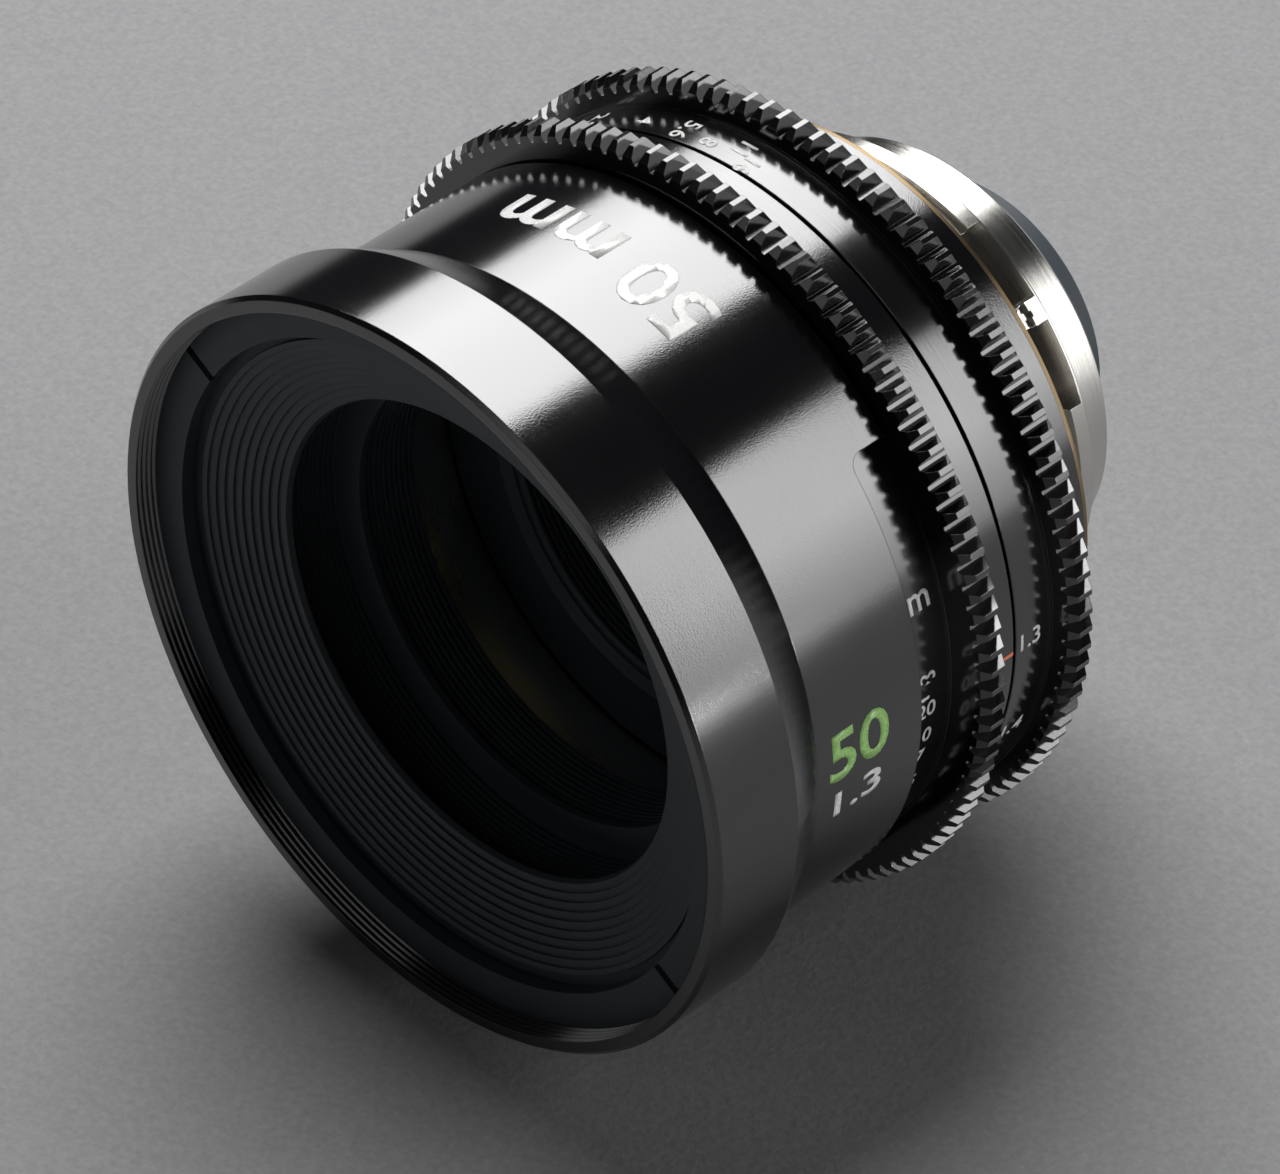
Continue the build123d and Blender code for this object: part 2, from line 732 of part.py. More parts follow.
def rear_body():
    """The collar that holds the iris ring, and the tube behind it, screwed to the main barrel."""
    end_y = shim_front_y
    collar_y = rear_body_front_y + rear_collar_length
    body = turned([
        (rear_bore_r, rear_body_front_y), (rear_collar_r - 0.2, rear_body_front_y),
        (rear_collar_r, rear_body_front_y + 0.2), (rear_collar_r, collar_y),
        (rear_tube_r, collar_y + rear_slope_length), (rear_tube_r, end_y - 0.1), (rear_tube_r - 0.1, end_y),
        (rear_bore_r, end_y),
    ])
    body = cut_all(body, [axial_pin(a, body_screw_circle_r, rear_body_front_y - 1, body_ledge_y + 1,
                                    body_screw_r) for a in body_screw_angles])
    body = cut_all(body, [axial_pin(a, body_screw_circle_r, body_ledge_y, end_y + 1,
                                    body_screw_head_r + body_screw_room) for a in body_screw_angles])
    return cut_all(body, mount_screw_holes(end_y - mount_screw_reach, end_y + 1, mount_screw_r))


def body_screws():
    screws = []
    for angle in body_screw_angles:
        shank = axial_pin(angle, body_screw_circle_r, rear_body_front_y - body_screw_reach + 0.3,
                          body_ledge_y, body_screw_r - 0.03)
        head = axial_pin(angle, body_screw_circle_r, body_ledge_y,
                         body_ledge_y + body_screw_head_length, body_screw_head_r)
        screws.append(shank + head)
    return screws


def mount_screw_holes(y0, y1, r):
    return [axial_pin(angle, mount_screw_circle_r, y0, y1, r) for angle in mount_screw_angles]


def mount_shims():
    shims = []
    for i in range(shim_count):
        y = shim_front_y + shim_thickness * i
        shim = ring(rear_bore_r, shim_outer_r - 0.15 * i, y, y + shim_thickness)
        shims.append(cut_all(shim, mount_screw_holes(y - 1, y + 1, mount_screw_r + 0.1)))
    return shims


def mount_flange():
    """The steel mount: a flange with four locking tabs and a barrel that enters the camera."""
    groove_front_y = -tab_thickness - tab_groove_length
    base_rear_y = flange_front_y + flange_base_length
    inner_end_y = carrier_rear_y + flange_end_gap
    body = turned([
        (rear_bore_r, flange_front_y), (flange_base_r, flange_front_y), (flange_base_r, base_rear_y),
        (flange_r, base_rear_y), (flange_r, groove_front_y), (tab_groove_r, groove_front_y),
        (tab_groove_r, -tab_thickness), (flange_r, -tab_thickness), (flange_r, -flange_bevel),
        (flange_r - flange_bevel, 0), (barrel_r, 0), (barrel_r, barrel_length - barrel_chamfer),
        (barrel_r - barrel_chamfer, barrel_length), (barrel_bore_r, barrel_length),
        (barrel_bore_r, inner_end_y), (rear_bore_r, inner_end_y),
    ])
    stop_front_y = -stop_length
    for middle in even_angles(pocket_count, pocket_first_angle):
        pocket = sector(pocket_span / 2, middle, pocket_floor_r, flange_r + 1, groove_front_y, -pocket_lip)
        stop_box = Pos(0, stop_front_y + stop_width / 2 + stop_length, flange_r) * Box(
            stop_width, 2 * stop_length, 4 * pocket_depth)
        stop_end = radial_pin(middle, stop_front_y + stop_width / 2, pocket_floor_r - 2, flange_r + 2,
                              stop_width / 2)
        body = body - (pocket - turned_about(stop_box, middle) - stop_end)
        slot = Pos(0, stop_front_y, flange_r) * Box(stop_slot_width, 3.0, 1.6)
        body = body - turned_about(slot, middle)
    head_y = base_rear_y - mount_screw_head_depth
    heads = mount_screw_holes(head_y, base_rear_y + 1, mount_screw_head_r + 0.03)
    shanks = mount_screw_holes(flange_front_y - 1, base_rear_y, mount_screw_r + 0.1)
    return cut_all(cut_all(body, heads), shanks)


def mount_screws():
    screws = []
    top_y = flange_front_y + flange_base_length - 0.1
    head_y = top_y + 0.1 - mount_screw_head_depth
    for angle in mount_screw_angles:
        head = axial_pin(angle, mount_screw_circle_r, head_y, top_y, mount_screw_head_r)
        shank = axial_pin(angle, mount_screw_circle_r, shim_front_y - mount_screw_reach + 0.3, head_y,
                          mount_screw_r - 0.03)
        slot = Pos(0, top_y, mount_screw_circle_r) * Box(mount_screw_slot_width, 0.8, 3 * mount_screw_head_r)
        screws.append(head + shank - turned_about(slot, angle))
    return screws


# Optical block
first_vertex_y = -first_vertex_from_mount
block_front_y = first_vertex_y - block_front_lead
carrier_front_y = block_front_y + cell_flange_thickness


def sag(curve_r, r):
    """How far a spherical face drops from its vertex at radius r; sign follows the curve's."""
    side = 1 if curve_r > 0 else -1
    return side * (abs(curve_r) - sqrt(curve_r ** 2 - r ** 2))


vertex_y = {}


def place_elements(names, y):
    """Note the front and rear vertex of each element of a group that starts at y."""
    for name in names:
        y += elements[name]["gap"]
        vertex_y[name] = (y, y + elements[name]["thick"])
        y += elements[name]["thick"]


def face_y(name, face, r):
    """Where the front or rear face of an element stands at radius r."""
    return vertex_y[name][0 if face == "front" else 1] + sag(elements[name][face], r)


def rim_y(name, face):
    """Where the front or rear face of an element meets its flat rim."""
    return face_y(name, face, curve_end_r(name, face))


def curve_end_r(name, face):
    """The radius where an element's curved face ends."""
    e = elements[name]
    return e["r"] - e["steps"][0 if face == "front" else 1]


def lens_element(name):
    """One glass element, with spherical faces and a flat rim."""
    e = elements[name]
    y0, y1 = vertex_y[name]
    r0, r1 = curve_end_r(name, "front"), curve_end_r(name, "rear")
    front_edge, rear_edge = rim_y(name, "front"), rim_y(name, "rear")
    front_mid = (r0 / 2, y0 + sag(e["front"], r0 / 2))
    rear_mid = (r1 / 2, y1 + sag(e["rear"], r1 / 2))
    front_arc = ThreePointArc((0, y0), front_mid, (r0, front_edge))
    rear_arc = ThreePointArc((r1, rear_edge), rear_mid, (0, y1))
    corners = [(r0, front_edge), (e["r"], front_edge), (e["r"], rear_edge), (r1, rear_edge)]
    rim = [Line(a, b) for a, b in zip(corners, corners[1:]) if hypot(b[0] - a[0], b[1] - a[1]) > 1e-6]
    outline = [front_arc, *rim, rear_arc, Line((0, y1), (0, y0))]
    return revolve(make_face(outline), Axis.Y)


def seat_r(name):
    return elements[name]["r"] + glass_gap


front_group = list(elements)[:3]
rear_group = list(elements)[3:]
place_elements(front_group, first_vertex_y)
spacer_shoulder_y = rim_y("lens_element_1", "rear") + 3.6
cell_step_y = rim_y("lens_element_2", "rear") + glass_gap
front_cell_end_y = rim_y("lens_element_3", "rear") + glass_gap
cam_plate_front_y = front_cell_end_y + 0.3
cam_plate_rear_y = cam_plate_front_y + cam_plate_thickness
blade_front_y = cam_plate_rear_y + iris_room
blade_rear_y = blade_front_y + blade_pitch * blade_count
iris_plate_front_y = blade_rear_y + iris_room
iris_plate_rear_y = iris_plate_front_y + iris_plate_thickness
hub_r = third_element["r"] + 0.1
rear_cell_front_y = iris_plate_rear_y + sliver
carrier_rear_y = rear_cell_front_y + rear_cell_flange
fork_front_y = drive_pin_y - drive_pin_r - 0.7
cell_waist_y = fork_front_y - 0.8
rear_rim_y = rear_cell_front_y + rear_cell_lip + glass_gap
place_elements(rear_group, rear_rim_y - sag(fourth_element["front"], curve_end_r("lens_element_4", "front")))
carrier_screw_angles = (0.0, 120.0, 240.0)


def front_cell():
    """The stepped tube that holds the three front elements, with a hub for the iris cam plate."""
    seat1, seat2, seat3 = seat_r("lens_element_1"), seat_r("lens_element_2"), seat_r("lens_element_3")
    return turned([
        (seat1, block_front_y + 1.0), (seat1 + 1.0, block_front_y), (carrier_r - 0.4, block_front_y),
        (carrier_r - 0.4, carrier_front_y), (carrier_bore_r - 0.05, carrier_front_y),
        (carrier_bore_r - 0.05, cell_waist_y - 2.0), (front_cell_waist_r, cell_waist_y),
        (front_cell_waist_r, front_cell_end_y), (hub_r, front_cell_end_y),
        (hub_r, cam_plate_rear_y), (iris_bore_r, cam_plate_rear_y), (iris_bore_r, front_cell_end_y),
        (seat3, front_cell_end_y), (seat3, cell_step_y), (seat2, cell_step_y),
        (seat2, spacer_shoulder_y), (seat1, spacer_shoulder_y),
    ])


def front_cell_retainer():
    """The ribbed screw ring that holds the front element."""
    outer_r = elements["lens_element_1"]["r"]
    inner_r = outer_r - 0.9
    rear_y = face_y("lens_element_1", "front", inner_r) - 0.05
    front_y = block_front_y + 1.2
    ribs = rib_points(inner_r, 0.3, trap_rib_pitch, front_y + 0.4, rear_y)
    return turned([(outer_r, front_y), (inner_r + 0.4, front_y), *ribs, (outer_r, rear_y)])


def front_spacer():
    """The spacer between the first and second elements."""
    e1 = elements["lens_element_1"]
    front_y = rim_y("lens_element_1", "rear") + 0.02
    nose_r = elements["lens_element_2"]["r"]
    nose_inner_r = nose_r - 1.4
    nose_y = face_y("lens_element_2", "front", nose_inner_r) - 0.05
    return turned([
        (nose_inner_r, front_y), (e1["r"], front_y), (e1["r"], spacer_shoulder_y - 0.05),
        (nose_r, spacer_shoulder_y - 0.05), (nose_r, nose_y), (nose_inner_r, nose_y),
    ])


def middle_spacer():
    """The thin spacer between the second and third elements."""
    outer_r = elements["lens_element_3"]["r"]
    inner_r = outer_r - 1.0
    front_y = face_y("lens_element_2", "rear", outer_r) + 0.05
    rear_y = face_y("lens_element_3", "front", inner_r) - 0.05
    return ring(inner_r, outer_r, front_y, rear_y)


def block_carrier():
    """The sliding tube, with holes for the rollers and a window for the iris drive pin."""
    tail_y = rear_body_front_y - carrier_tail_lead
    body = turned([
        (carrier_bore_r, carrier_front_y), (carrier_r, carrier_front_y), (carrier_r, tail_y),
        (carrier_tail_r, tail_y), (carrier_tail_r, carrier_rear_y), (carrier_bore_r, carrier_rear_y),
    ])
    body = cut_all(body, [radial_pin(a, roller_y, carrier_r - roller_socket_depth, carrier_r + 1, roller_r)
                          for a in key_angles])
    window_front_y = drive_pin_y - drive_pin_r - 0.5
    window_rear_y = drive_pin_y + focus_travel + drive_pin_r + 0.3
    body = body - sector(iris_throw / 2 + 4, drive_pin_angle - iris_throw / 2, carrier_bore_r - 1,
                         carrier_r + 1, window_front_y, window_rear_y)
    return cut_all(body, [radial_pin(a, y, carrier_bore_r - 1, carrier_r + 1, small_screw_r)
                          for y in carrier_screw_ys() for a in carrier_screw_angles])


def carrier_screw_ys():
    """Where the carrier's screws stand: in the iris housing and in the rear cell's flange."""
    return iris_plate_rear_y - 1.3, rear_cell_front_y + rear_cell_flange / 2


def carrier_screws():
    return [radial_pin(a, y, carrier_bore_r - 0.9, carrier_tail_r - 0.3, small_screw_r - screw_gap)
            for y in carrier_screw_ys() for a in carrier_screw_angles]


def carrier_screw_sockets(y):
    return [radial_pin(a, y, carrier_bore_r - 1.0, carrier_bore_r + 1, small_screw_r)
            for a in carrier_screw_angles]


def pivot_angles():
    return even_angles(blade_count, 0.0)


def iris_housing():
    """The cup behind the blades, with a hole for each blade's pivot."""
    body = turned([
        (iris_bore_r, iris_plate_front_y), (iris_cup_r, iris_plate_front_y),
        (iris_cup_r, cam_plate_rear_y + 0.3), (carrier_bore_r - 0.05, cam_plate_rear_y + 0.3),
        (carrier_bore_r - 0.05, iris_plate_rear_y), (rear_cell_r, iris_plate_rear_y),
        (iris_bore_r, iris_plate_rear_y),
    ])
    holes = [axial_pin(a, blade_pivot_r, iris_plate_front_y - 1, iris_plate_rear_y + 1,
                       blade_pin_r + running_gap) for a in pivot_angles()]
    return cut_all(cut_all(body, holes), carrier_screw_sockets(carrier_screw_ys()[0]))


def cam_slot(first_angle):
    """The slot tool in which one blade's drive pin runs as the cam plate turns."""
    steps = 12
    half_width = blade_pin_r + running_gap
    margin = 0.015
    sides = {1: [], -1: []}
    middles = []
    for i in range(steps + 1):
        share = -margin + (1 + 2 * margin) * i / steps
        r, angle = drive_place(share)
        middles.append(at_angle(r, first_angle + angle + iris_throw * share))
    for i, (x, y) in enumerate(middles):
        x0, y0 = middles[max(i - 1, 0)]
        x1, y1 = middles[min(i + 1, steps)]
        length = hypot(x1 - x0, y1 - y0)
        for side in sides:
            sides[side].append((x - side * half_width * (y1 - y0) / length,
                                y + side * half_width * (x1 - x0) / length))
    outline = [Spline(*sides[1]), Line(sides[1][-1], sides[-1][-1]),
               Spline(*reversed(sides[-1])), Line(sides[-1][0], sides[1][0])]
    face = cross_plane(cam_plate_front_y - 1) * make_face(outline)
    return extrude(face, cam_plate_thickness + 2)


def iris_cam_plate():
    """The plate that turns with the iris ring and drives the blades, with a fork for the drive pin."""
    body = ring(hub_r + running_gap, cam_plate_r, cam_plate_front_y, cam_plate_rear_y)
    fork_length = cam_plate_rear_y - fork_front_y
    fork_middle = Pos(0, (fork_front_y + cam_plate_rear_y) / 2, (fork_inner_r + cam_plate_r) / 2)
    fork = turned_about(fork_middle * Box(2 * fork_half_width, fork_length, cam_plate_r), drive_pin_angle)
    fork = fork & ring(fork_inner_r, cam_plate_r, fork_front_y, cam_plate_rear_y)
    slot_length = fork_length - cam_plate_thickness - 0.5
    slot = Pos(0, fork_front_y + slot_length / 2 - 0.5, cam_plate_r) * Box(
        2 * (drive_pin_r + slide_gap), slot_length + 1, cam_plate_r)
    body = body + (fork - turned_about(slot, drive_pin_angle))
    return cut_all(body, [cam_slot(angle) for angle in pivot_angles()])


def iris_blade(number):
    """One thin blade, with a pivot pin towards the rear and a drive pin towards the front."""
    pivot_angle = pivot_angles()[number]
    front_y = blade_front_y + blade_pitch * number
    rear_y = front_y + blade_thickness
    strip = sector(blade_span / 2, pivot_angle - blade_span / 2, blade_inner_r, blade_outer_r, front_y, rear_y)
    drive_r, drive_angle = drive_place(0)
    pivot_spot = at_angle(blade_pivot_r, pivot_angle)
    drive_spot = at_angle(drive_r, pivot_angle + drive_angle)
    root_spot = at_angle(blade_outer_r - blade_lug_r, pivot_angle - 4.0)
    rounds = [CenterArc(spot, blade_lug_r, 0, 360) for spot in (pivot_spot, drive_spot, root_spot)]
    lug = cross_plane(front_y) * make_hull([edge for curve in rounds for edge in curve.edges()])
    blade = strip + extrude(lug, blade_thickness)
    blade = blade + axial_pin(pivot_angle, blade_pivot_r, rear_y, iris_plate_rear_y, blade_pin_r)
    return blade + axial_pin(pivot_angle + drive_angle, drive_r, cam_plate_front_y + 0.2, front_y, blade_pin_r)


rear_cell_end_y = rim_y("lens_element_7", "rear") + sliver + rear_retainer_length + 0.2


def rear_cell():
    """The tube that holds the four rear elements and reaches back through the mount."""
    seat = seat_r("lens_element_4")
    lip_r = curve_end_r("lens_element_4", "front")
    rim_r = carrier_bore_r - 0.05
    body = turned([
        (lip_r, rear_cell_front_y), (rim_r, rear_cell_front_y), (rim_r, carrier_rear_y),
        (rear_cell_r, carrier_rear_y), (rear_cell_r, -rear_cell_taper), (rear_cell_end_r, 0),
        (rear_cell_end_r, rear_cell_end_y - 0.4), (rear_cell_end_r - 0.4, rear_cell_end_y),
        (seat, rear_cell_end_y), (seat, rear_rim_y - glass_gap), (lip_r, rear_rim_y - glass_gap),
    ])
    return cut_all(body, carrier_screw_sockets(carrier_screw_ys()[1]))


def rear_spacer(front_name, rear_name):
    """The spacer between two of the rear elements."""
    r = elements[front_name]["r"]
    front_y = max(face_y(front_name, "rear", edge) for edge in (r, r - spacer_wall)) + 0.02
    rear_y = min(face_y(rear_name, "front", edge) for edge in (r, r - spacer_wall)) - 0.02
    return ring(r - spacer_wall, r, front_y, rear_y)


def rear_retainer():
    """The screw ring that holds the last element."""
    r = elements["lens_element_7"]["r"]
    front_y = rim_y("lens_element_7", "rear") + sliver
    rear_y = rear_cell_end_y - 0.2
    return turned([(r - 1.4, front_y), (r, front_y), (r, rear_y), (r - 0.8, rear_y)])


def rear_baffle():
    """The fixed plate that closes the gap round the rear cell inside the mount's barrel."""
    rear_y = barrel_length - 0.5
    return ring(rear_cell_end_r + rear_baffle_gap, barrel_bore_r - 0.02, rear_y - rear_baffle_thickness, rear_y)


def nodes():
    """Every piece of the lens, by name; a list is a set of like pieces in one node."""
    pieces = {
        "front_ring": front_ring(),
        "front_ring_screws": front_ring_screws(),
        "front_retaining_ring": front_retaining_ring(),
        "ribbed_baffle": ribbed_baffle(),
        "light_trap_tube": light_trap_tube(),
        "name_sleeve": name_sleeve(),
        "sleeve_screws": set_screws(sleeve_screw_angles, set_screw_y, sleeve_r - 0.2),
        "main_barrel": main_barrel(),
        "index_band": index_band(),
        "index_screws": index_screws(),
        "focus_thrust_ring": focus_thrust_ring(),
        "focus_washer": thrust_washer(focus_ring_rear_y + 0.02),
        "iris_washer": thrust_washer(iris_ring_rear_y + 0.02),
        "rear_body": rear_body(),
        "body_screws": body_screws(),
        "mount_shims": mount_shims(),
        "mount_flange": mount_flange(),
        "mount_screws": mount_screws(),
        "rear_baffle": rear_baffle(),
        "focus_ring": focus_ring(),
        "focus_cam_ring": focus_cam_ring(),
        "cam_screws": set_screws(cam_screw_angles, cam_screw_y, focus_band_r - 0.3),
        "iris_ring": iris_ring(),
        "iris_drive_pin": iris_drive_pin(),
        "block_carrier": block_carrier(),
        "carrier_screws": carrier_screws(),
        "focus_rollers": focus_rollers(),
        "front_cell": front_cell(),
        "front_cell_retainer": front_cell_retainer(),
        "front_spacer": front_spacer(),
        "middle_spacer": middle_spacer(),
        "iris_housing": iris_housing(),
        "iris_cam_plate": iris_cam_plate(),
        "rear_cell": rear_cell(),
        "rear_spacer_1": rear_spacer("lens_element_5", "lens_element_6"),
        "rear_spacer_2": rear_spacer("lens_element_6", "lens_element_7"),
        "rear_retainer": rear_retainer(),
    }
    for name in elements:
        pieces[name] = lens_element(name)
    for i in range(blade_count):
        pieces[f"iris_blade_{i + 1}"] = iris_blade(i)
    return pieces


os.makedirs("parts", exist_ok=True)
for node, piece in nodes().items():
    export_step(Compound(piece) if isinstance(piece, list) else piece, f"parts/{node}.step")
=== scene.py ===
from math import cos, pi, radians, sin

import bpy
from mathutils import Matrix, Vector


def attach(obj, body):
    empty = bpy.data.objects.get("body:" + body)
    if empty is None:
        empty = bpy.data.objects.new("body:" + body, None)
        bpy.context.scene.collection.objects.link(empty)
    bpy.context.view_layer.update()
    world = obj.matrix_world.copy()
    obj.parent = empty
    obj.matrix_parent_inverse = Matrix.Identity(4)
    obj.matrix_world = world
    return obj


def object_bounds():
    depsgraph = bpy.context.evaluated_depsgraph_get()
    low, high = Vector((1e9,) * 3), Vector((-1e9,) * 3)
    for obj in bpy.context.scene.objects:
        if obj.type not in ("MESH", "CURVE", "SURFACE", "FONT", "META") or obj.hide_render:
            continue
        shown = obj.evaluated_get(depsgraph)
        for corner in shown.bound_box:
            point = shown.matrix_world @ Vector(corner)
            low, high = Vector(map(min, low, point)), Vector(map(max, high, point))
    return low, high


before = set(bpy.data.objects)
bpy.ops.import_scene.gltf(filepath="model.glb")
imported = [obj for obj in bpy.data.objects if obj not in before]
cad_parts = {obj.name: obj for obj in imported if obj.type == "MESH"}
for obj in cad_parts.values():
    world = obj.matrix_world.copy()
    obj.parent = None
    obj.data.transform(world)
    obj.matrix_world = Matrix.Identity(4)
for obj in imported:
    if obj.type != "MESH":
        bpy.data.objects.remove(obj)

cadBox = [list(corner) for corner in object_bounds()]
bpy.ops.object.select_all(action="DESELECT")
print("frame loaded:", len(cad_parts), "nodes")

mm = 0.001


def deselectAll():
    for item in bpy.context.selected_objects:
        item.select_set(False)


# sRGB hex to the linear values that shaders and lamps take
def linearColour(hexColour):
    channels = [int(hexColour[i:i + 2], 16) / 255 for i in (1, 3, 5)]
    return [c / 12.92 if c <= 0.04045 else ((c + 0.055) / 1.055) ** 2.4 for c in channels] + [1.0]


# one node with settings and links; a key is an input's name or number, or else a property of the node
def addNode(tree, kind, settings=None, links=None):
    node = tree.nodes.new("ShaderNode" + kind)
    for key, value in (settings or {}).items():
        if isinstance(key, int) or key in node.inputs:
            node.inputs[key].default_value = value
        else:
            setattr(node, key, value)
    for key, socket in (links or {}).items():
        tree.links.new(socket, node.inputs[key])
    return node


def newMaterial(name):
    material = bpy.data.materials.new(name)
    material.use_nodes = True
    tree = material.node_tree
    return material, tree, tree.nodes["Principled BSDF"]


# scale of a noise whose grains are about this many millimetres across
def grainScale(sizeMm):
    return 1 / (sizeMm * mm)


# radius and place along the optical axis: a pattern on these goes round the lens as a lathe's marks do
def latheCoordinates(tree, place):
    parts = addNode(tree, "SeparateXYZ", links={0: place})
    flat = addNode(tree, "CombineXYZ", links={"X": parts.outputs["X"], "Z": parts.outputs["Z"]})
    radius = addNode(tree, "VectorMath", {"operation": "LENGTH"}, {0: flat.outputs[0]})
    lathe = addNode(tree, "CombineXYZ", links={"X": radius.outputs["Value"], "Y": parts.outputs["Y"]})
    return lathe.outputs[0]


# how much of a sharp edge is near, 0 to 1, from a normal that is rounded at the edges
def edgeMask(tree, rounded):
    flat = addNode(tree, "NewGeometry")
    alike = addNode(tree, "VectorMath", {"operation": "DOT_PRODUCT"},
                    {0: rounded.outputs[0], 1: flat.outputs["Normal"]})
    mask = addNode(tree, "MapRange", {"From Min": 0.99, "From Max": 0.75}, {0: alike.outputs["Value"]})
    return mask.outputs[0]


# a turned metal piece: fine grain, rings left by the tool, slow changes of gloss, worn edges
def turnedMaterial(name, look):
    material, tree, shader = newMaterial(name)
    place = addNode(tree, "TexCoord").outputs["Object"]
    lathe = latheCoordinates(tree, place)
    grain = addNode(tree, "TexNoise", {"Scale": grainScale(look["grainMm"]), "Detail": 2.0}, {0: place})
    rings = addNode(tree, "TexNoise", {"Scale": grainScale(look["ringMm"]), "Detail": 3.0}, {0: lathe})
    clouds = addNode(tree, "TexNoise", {"Scale": grainScale(look["cloudMm"]), "Detail": 3.0}, {0: place})

    dark = addNode(tree, "Mix", {"data_type": "RGBA", "A": linearColour(look["colour"]),
                                 "B": linearColour(look["paler"])}, {0: clouds.outputs[0]})
    rounded = addNode(tree, "Bevel", {"samples": 4, "Radius": look["edgeMm"] * mm})
    share = addNode(tree, "Math", {"operation": "MULTIPLY", 1: look["edgeShare"]},
                    {0: edgeMask(tree, rounded)})
    worn = addNode(tree, "Mix", {"data_type": "RGBA", "B": linearColour(look["edge"])},
                   {0: share.outputs[0], "A": dark.outputs["Result"]})
    tree.links.new(worn.outputs["Result"], shader.inputs["Base Color"])

    low, high = look["roughness"]
    mixed = addNode(tree, "Mix", {0: 0.5}, {"A": rings.outputs[0], "B": clouds.outputs[0]})
    gloss = addNode(tree, "MapRange", {"From Min": 0.3, "From Max": 0.7, "To Min": low, "To Max": high},
                    {0: mixed.outputs["Result"]})
    tree.links.new(gloss.outputs[0], shader.inputs["Roughness"])

    ringBump = addNode(tree, "Bump", {"Strength": look["ringStrength"], "Distance": look["ringDepthMm"] * mm},
                       {"Height": rings.outputs[0], "Normal": rounded.outputs[0]})
    grainBump = addNode(tree, "Bump", {"Strength": look["grainStrength"],
                                       "Distance": look["grainDepthMm"] * mm},
                        {"Height": grain.outputs[0], "Normal": ringBump.outputs[0]})
    tree.links.new(grainBump.outputs[0], shader.inputs["Normal"])
    shader.inputs["Metallic"].default_value = look.get("metallic", 0.0)
    if "ior" in look:
        shader.inputs["IOR"].default_value = look["ior"]
    return material


# Outer barrel: aluminium, turned, blasted fine and hard anodised black. Deep black with broad satin
# highlights, faint rings and slightly paler edges where the film is thin.
satinAnodised = turnedMaterial("satin black anodised aluminium", {
    "colour": "#08080a", "paler": "#0d0d0f", "edge": "#4a4b4e", "edgeMm": 0.15, "edgeShare": 0.35,
    "roughness": (0.1, 0.15), "ior": 2.0,  # the film is 1.77, the metal under it adds to the reflection
    "grainMm": 0.2, "grainStrength": 0.4, "grainDepthMm": 0.02,  # real grain is about 0.05 mm
    "ringMm": 0.35, "ringStrength": 0.08, "ringDepthMm": 0.01, "cloudMm": 14})

# Toothed rings: the same film on milled teeth, a little glossier, with bright cut edges
gearAnodised = turnedMaterial("gloss black anodised aluminium", {
    "colour": "#070709", "paler": "#0c0c0e", "edge": "#5a5b5e", "edgeMm": 0.08, "edgeShare": 0.3,
    "roughness": (0.12, 0.18), "ior": 2.0,
    "grainMm": 0.35, "grainStrength": 0.08, "grainDepthMm": 0.02,
    "ringMm": 0.3, "ringStrength": 0.14, "ringDepthMm": 0.01, "cloudMm": 9})

# Inside surfaces: aluminium, blasted coarse and anodised matt black against stray light. Soft grey-black.
mattAnodised = turnedMaterial("matt black anodised aluminium", {
    "colour": "#383e44", "paler": "#41484e", "edge": "#5a6167", "edgeMm": 0.12, "edgeShare": 0.5,
    "roughness": (0.5, 0.62), "ior": 1.5,
    "grainMm": 0.25, "grainStrength": 0.2, "grainDepthMm": 0.02,
    "ringMm": 0.3, "ringStrength": 0.12, "ringDepthMm": 0.01, "cloudMm": 11})

# Mount: stainless steel, fine turned and lapped. Mirror-like streaks drawn out along the tool's rings.
turnedSteel = turnedMaterial("fine turned stainless steel", {
    "colour": "#c6c4bf", "paler": "#d3d1cc", "edge": "#eceae6", "edgeMm": 0.08, "edgeShare": 0.5,
    "roughness": (0.13, 0.26), "metallic": 1.0,
    "grainMm": 0.3, "grainStrength": 0.04, "grainDepthMm": 0.01,
    "ringMm": 0.22, "ringStrength": 0.3, "ringDepthMm": 0.012, "cloudMm": 12})

# Shims, cam and washers: brass, rolled or turned, left bare and gone dull. Brown-yellow, soft satin shine.
turnedBrass = turnedMaterial("turned brass", {
    "colour": "#7a684e", "paler": "#8a775b", "edge": "#a39074", "edgeMm": 0.12, "edgeShare": 0.4,
    "roughness": (0.24, 0.36), "metallic": 1.0,
    "grainMm": 0.3, "grainStrength": 0.06, "grainDepthMm": 0.01,
    "ringMm": 0.25, "ringStrength": 0.2, "ringDepthMm": 0.01, "cloudMm": 8})

# Iris cam plate: brass, blackened in a bath so that it sends no light back. Brown-black, dull.
blackenedBrass = turnedMaterial("blackened brass", {
    "colour": "#15130f", "paler": "#1d1a15", "edge": "#5c4c34", "edgeMm": 0.08, "edgeShare": 0.3,
    "roughness": (0.35, 0.48), "metallic": 1.0,
    "grainMm": 0.3, "grainStrength": 0.06, "grainDepthMm": 0.01,
    "ringMm": 0.25, "ringStrength": 0.2, "ringDepthMm": 0.01, "cloudMm": 5})

# Inner barrels: aluminium, turned and left bare. Pale grey with clear tool rings.
turnedAluminium = turnedMaterial("turned aluminium", {
    "colour": "#bfc0c3", "paler": "#cdced1", "edge": "#e6e7e9", "edgeMm": 0.12, "edgeShare": 0.4,
    "roughness": (0.24, 0.36), "metallic": 1.0,
    "grainMm": 0.3, "grainStrength": 0.06, "grainDepthMm": 0.01,
    "ringMm": 0.3, "ringStrength": 0.25, "ringDepthMm": 0.012, "cloudMm": 12})

